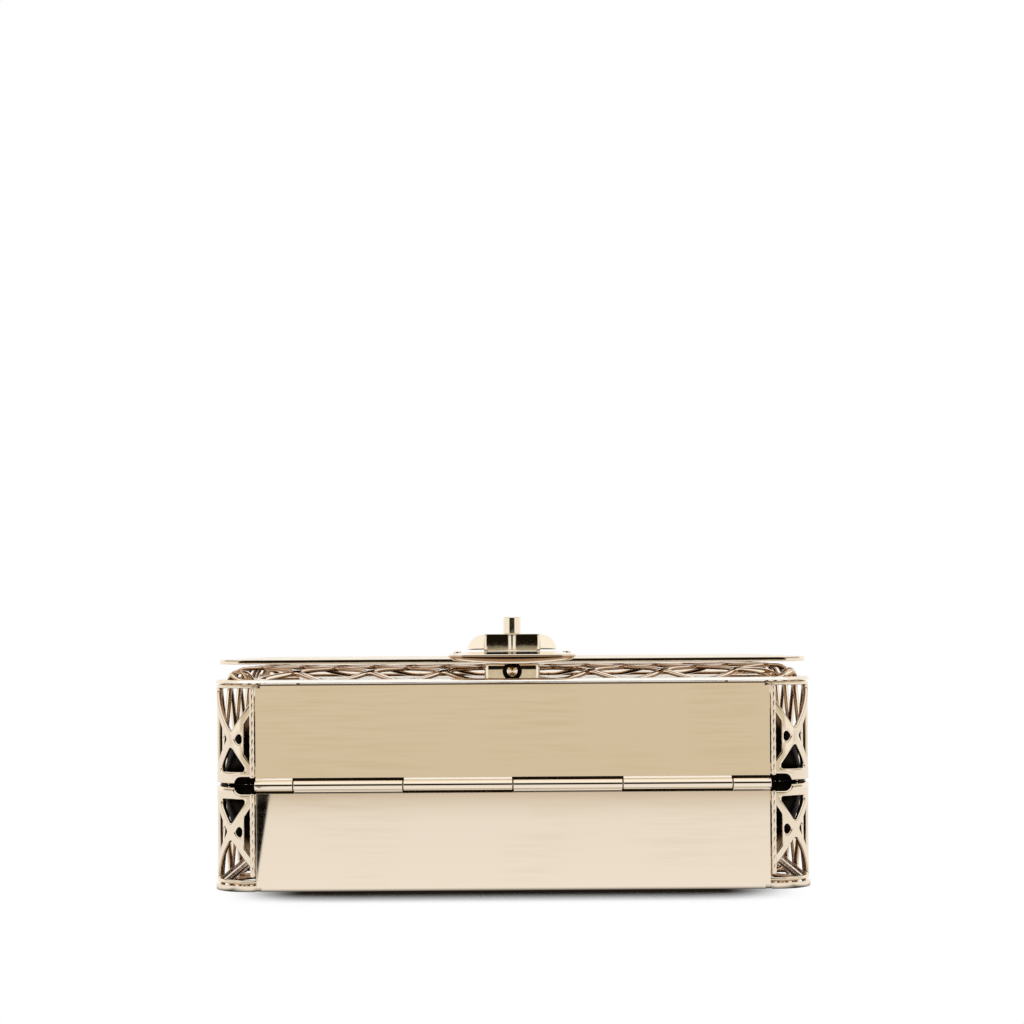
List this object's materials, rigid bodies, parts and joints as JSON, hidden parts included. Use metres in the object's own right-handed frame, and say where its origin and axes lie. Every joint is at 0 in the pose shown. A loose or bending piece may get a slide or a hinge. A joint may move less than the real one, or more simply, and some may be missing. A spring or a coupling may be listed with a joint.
{
  "type": "flap bag",
  "caption": "Rigid openwork metal flap bag: hinged half shells with quilted lattice, solid bottom plates, a knuckled hinge, a hinged flap and a turn lock, lying on its back.",
  "frame": {"origin": "middle of the bag's outline on the floor, below its back face: the bag lies on its back", "axes": "+X along the width, -Y out of the bag's bottom (towards the camera), +Y out of its top, +Z out of its front, where the flap and lock are"},
  "size_m": [0.18, 0.119, 0.0817],
  "materials": {
    "shell": "mirror-polished pale gold plating",
    "plate": "polished pale gold plating with fine brushing",
    "hinge": "mirror-polished pale gold plating",
    "flap": "mirror-polished pale gold plating",
    "lock": "mirror-polished pale gold plating"
  },
  "bodies": {
    "rear_shell": {"rear_rim": "shell", "rear_panel": "shell", "rear_gusset_left": "shell", "rear_gusset_right": "shell", "rear_rope_left": "shell", "rear_rope_right": "shell", "rear_bottom_plate": "plate", "rear_top_plate": "plate", "rear_hinge_leaf": "hinge", "rear_flap_leaf": "hinge", "bottom_hinge_pin": "hinge", "top_hinge_pin": "hinge"},
    "front_shell": {"front_rim": "shell", "front_panel": "shell", "front_gusset_left": "shell", "front_gusset_right": "shell", "front_rope_left": "shell", "front_rope_right": "shell", "front_bottom_plate": "plate", "front_top_plate": "plate", "front_hinge_leaf": "hinge", "lock_bracket": "lock", "lock_base": "lock", "base_stud": "lock"},
    "flap": {"flap_frame": "flap", "flap_panel": "flap", "flap_field_left": "flap", "flap_field_right": "flap", "lock_seat": "flap", "flap_hinge_leaf": "hinge", "escutcheon": "lock", "escutcheon_screw_left": "lock", "escutcheon_screw_right": "lock"},
    "knob": {"lock_post": "lock", "knob_collar": "lock", "turn_knob": "lock", "knob_peg": "lock"}
  },
  "joints": [
    {"name": "flap_hinge", "type": "hinge", "parent": "rear_shell", "child": "flap", "pos_m": [0, 0.058, 0.0316], "axis": [-1, 0, 0], "range_deg": [0, 120]},
    {"name": "front_hinge", "type": "hinge", "parent": "rear_shell", "child": "front_shell", "pos_m": [0, -0.058, 0.0316], "axis": [1, 0, 0], "range_deg": [0, 24]},
    {"name": "knob_turn", "type": "hinge", "parent": "front_shell", "child": "knob", "pos_m": [0, -0.041, 0.06745], "axis": [0, 0, 1], "range_deg": [0, 90]}
  ],
  "couplings": [
    {"joint": "front_hinge", "follows": "flap_hinge", "ratio": 0.2}
  ]
}
